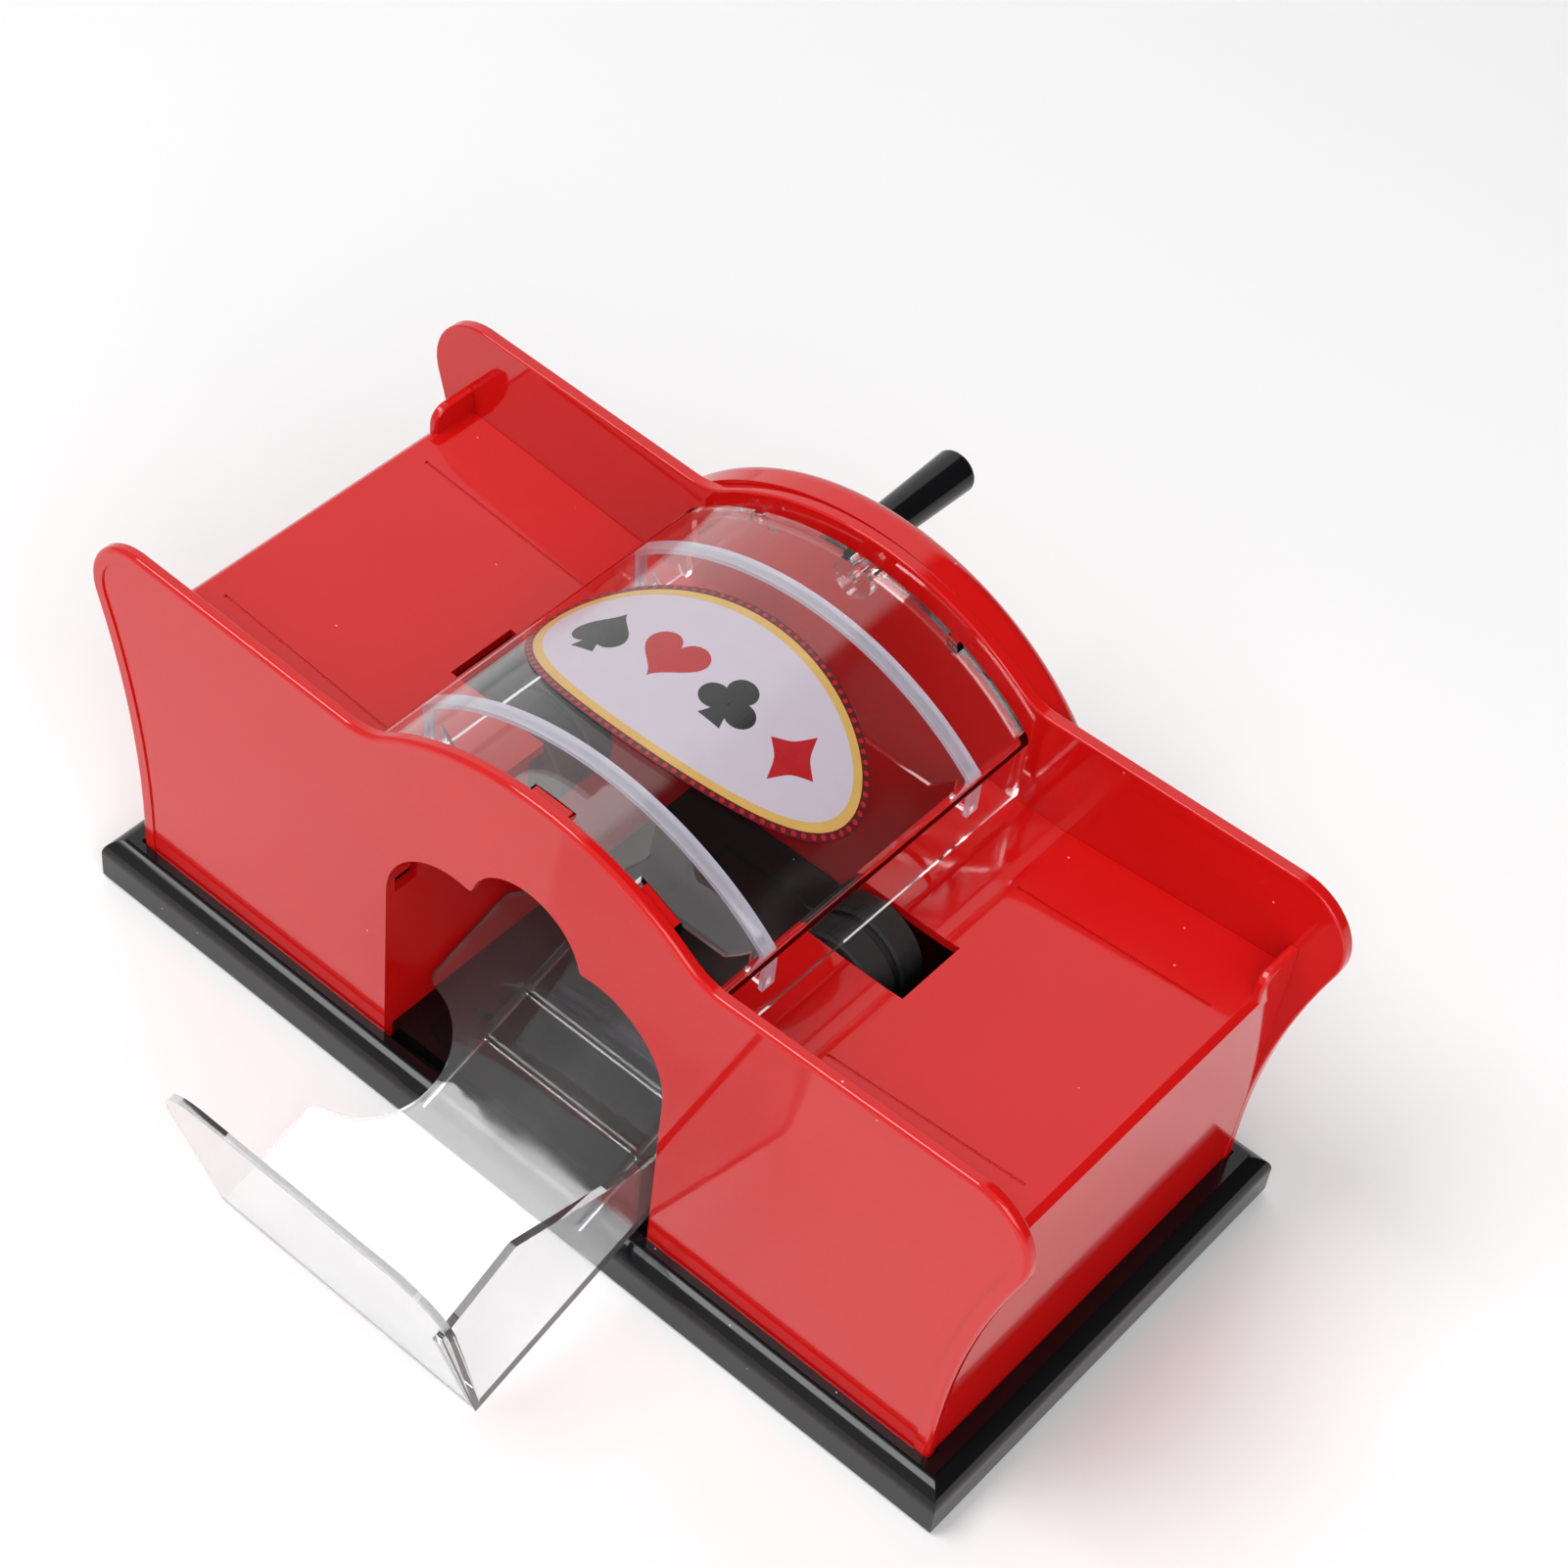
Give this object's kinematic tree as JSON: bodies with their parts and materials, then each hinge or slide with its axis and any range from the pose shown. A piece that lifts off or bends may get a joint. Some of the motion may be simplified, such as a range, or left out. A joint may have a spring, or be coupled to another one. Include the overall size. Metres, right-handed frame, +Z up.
{
  "type": "card shuffler",
  "caption": "Hand-cranked playing card shuffler with open card hoppers, driven feed rollers, a clear arched cover and a clear pull-out tray on a flat base.",
  "frame": {"origin": "on the surface the rubber feet stand on, under the middle of the base", "axes": "+X along the length from hopper to hopper, +Y from the tray side to the crank side, +Z up"},
  "size_m": [0.2316, 0.2078, 0.1095],
  "materials": {
    "red_plastic": "glossy moulded red plastic",
    "black_plastic": "glossy moulded black plastic",
    "dark_plastic": "plain black plastic with a fine grain",
    "rubber": "black rubber",
    "clear_plastic": "clear polished plastic",
    "label_film": null,
    "steel": "plain drawn steel",
    "gear_plastic": "off-white moulded gear plastic",
    "bush_plastic": "off-white bearing plastic"
  },
  "bodies": {
    "chassis": {"base_shell": "black_plastic", "bottom_cover": "dark_plastic", "rubber_feet": "rubber", "bottom_screws": "steel", "front_panel": "red_plastic", "back_panel": "red_plastic", "left_hopper": "red_plastic", "right_hopper": "red_plastic", "hopper_screws": "steel", "gear_housing": "red_plastic", "housing_screws": "steel", "crank_inner_bush": "bush_plastic", "crank_outer_bush": "bush_plastic", "left_front_bush": "bush_plastic", "left_rear_bush": "bush_plastic", "right_front_bush": "bush_plastic", "right_rear_bush": "bush_plastic", "idler_pin": "steel"},
    "cover": {"clear_cover": "clear_plastic", "front_card_guide": "clear_plastic", "rear_card_guide": "clear_plastic", "cover_label": "label_film"},
    "tray": {"card_tray": "clear_plastic"},
    "crank": {"crank_shaft": "steel", "crank_arm": "black_plastic", "drive_gear": "gear_plastic", "crank_screw": "steel", "grip_pin": "steel"},
    "grip": {"crank_grip": "black_plastic"},
    "idler": {"idler_gear": "gear_plastic"},
    "left_roller": {"left_roller_shaft": "steel", "left_roller_hub": "dark_plastic", "left_roller_tyres": "rubber", "left_pinion": "gear_plastic", "left_shaft_clips": "steel"},
    "right_roller": {"right_roller_shaft": "steel", "right_roller_hub": "dark_plastic", "right_roller_tyres": "rubber", "right_pinion": "gear_plastic", "right_shaft_clips": "steel"}
  },
  "joints": [
    {"name": "cover_lift", "type": "slide", "parent": "chassis", "child": "cover", "axis": [0, 0, 1], "range_m": [0, 0.06]},
    {"name": "tray_slide", "type": "slide", "parent": "chassis", "child": "tray", "axis": [0, -0.9483, -0.3173], "range_m": [-0.038, 0]},
    {"name": "crank_turn", "type": "hinge", "parent": "chassis", "child": "crank", "pos_m": [0, 0.06, 0.0586], "axis": [0, 1, 0], "continuous": true},
    {"name": "grip_spin", "type": "hinge", "parent": "crank", "child": "grip", "pos_m": [-0.01845, 0.0825, 0.08059], "axis": [0, 1, 0], "continuous": true},
    {"name": "idler_turn", "type": "hinge", "parent": "chassis", "child": "idler", "pos_m": [-0.03035, 0.0509, 0.06874], "axis": [0, 1, 0], "continuous": true},
    {"name": "left_roller_turn", "type": "hinge", "parent": "chassis", "child": "left_roller", "pos_m": [-0.04, 0, 0.0586], "axis": [0, 1, 0], "continuous": true},
    {"name": "right_roller_turn", "type": "hinge", "parent": "chassis", "child": "right_roller", "pos_m": [0.04, 0, 0.0586], "axis": [0, 1, 0], "continuous": true}
  ],
  "couplings": [
    {"joint": "idler_turn", "follows": "crank_turn", "ratio": -3},
    {"joint": "left_roller_turn", "follows": "crank_turn", "ratio": 4},
    {"joint": "right_roller_turn", "follows": "crank_turn", "ratio": -4}
  ]
}
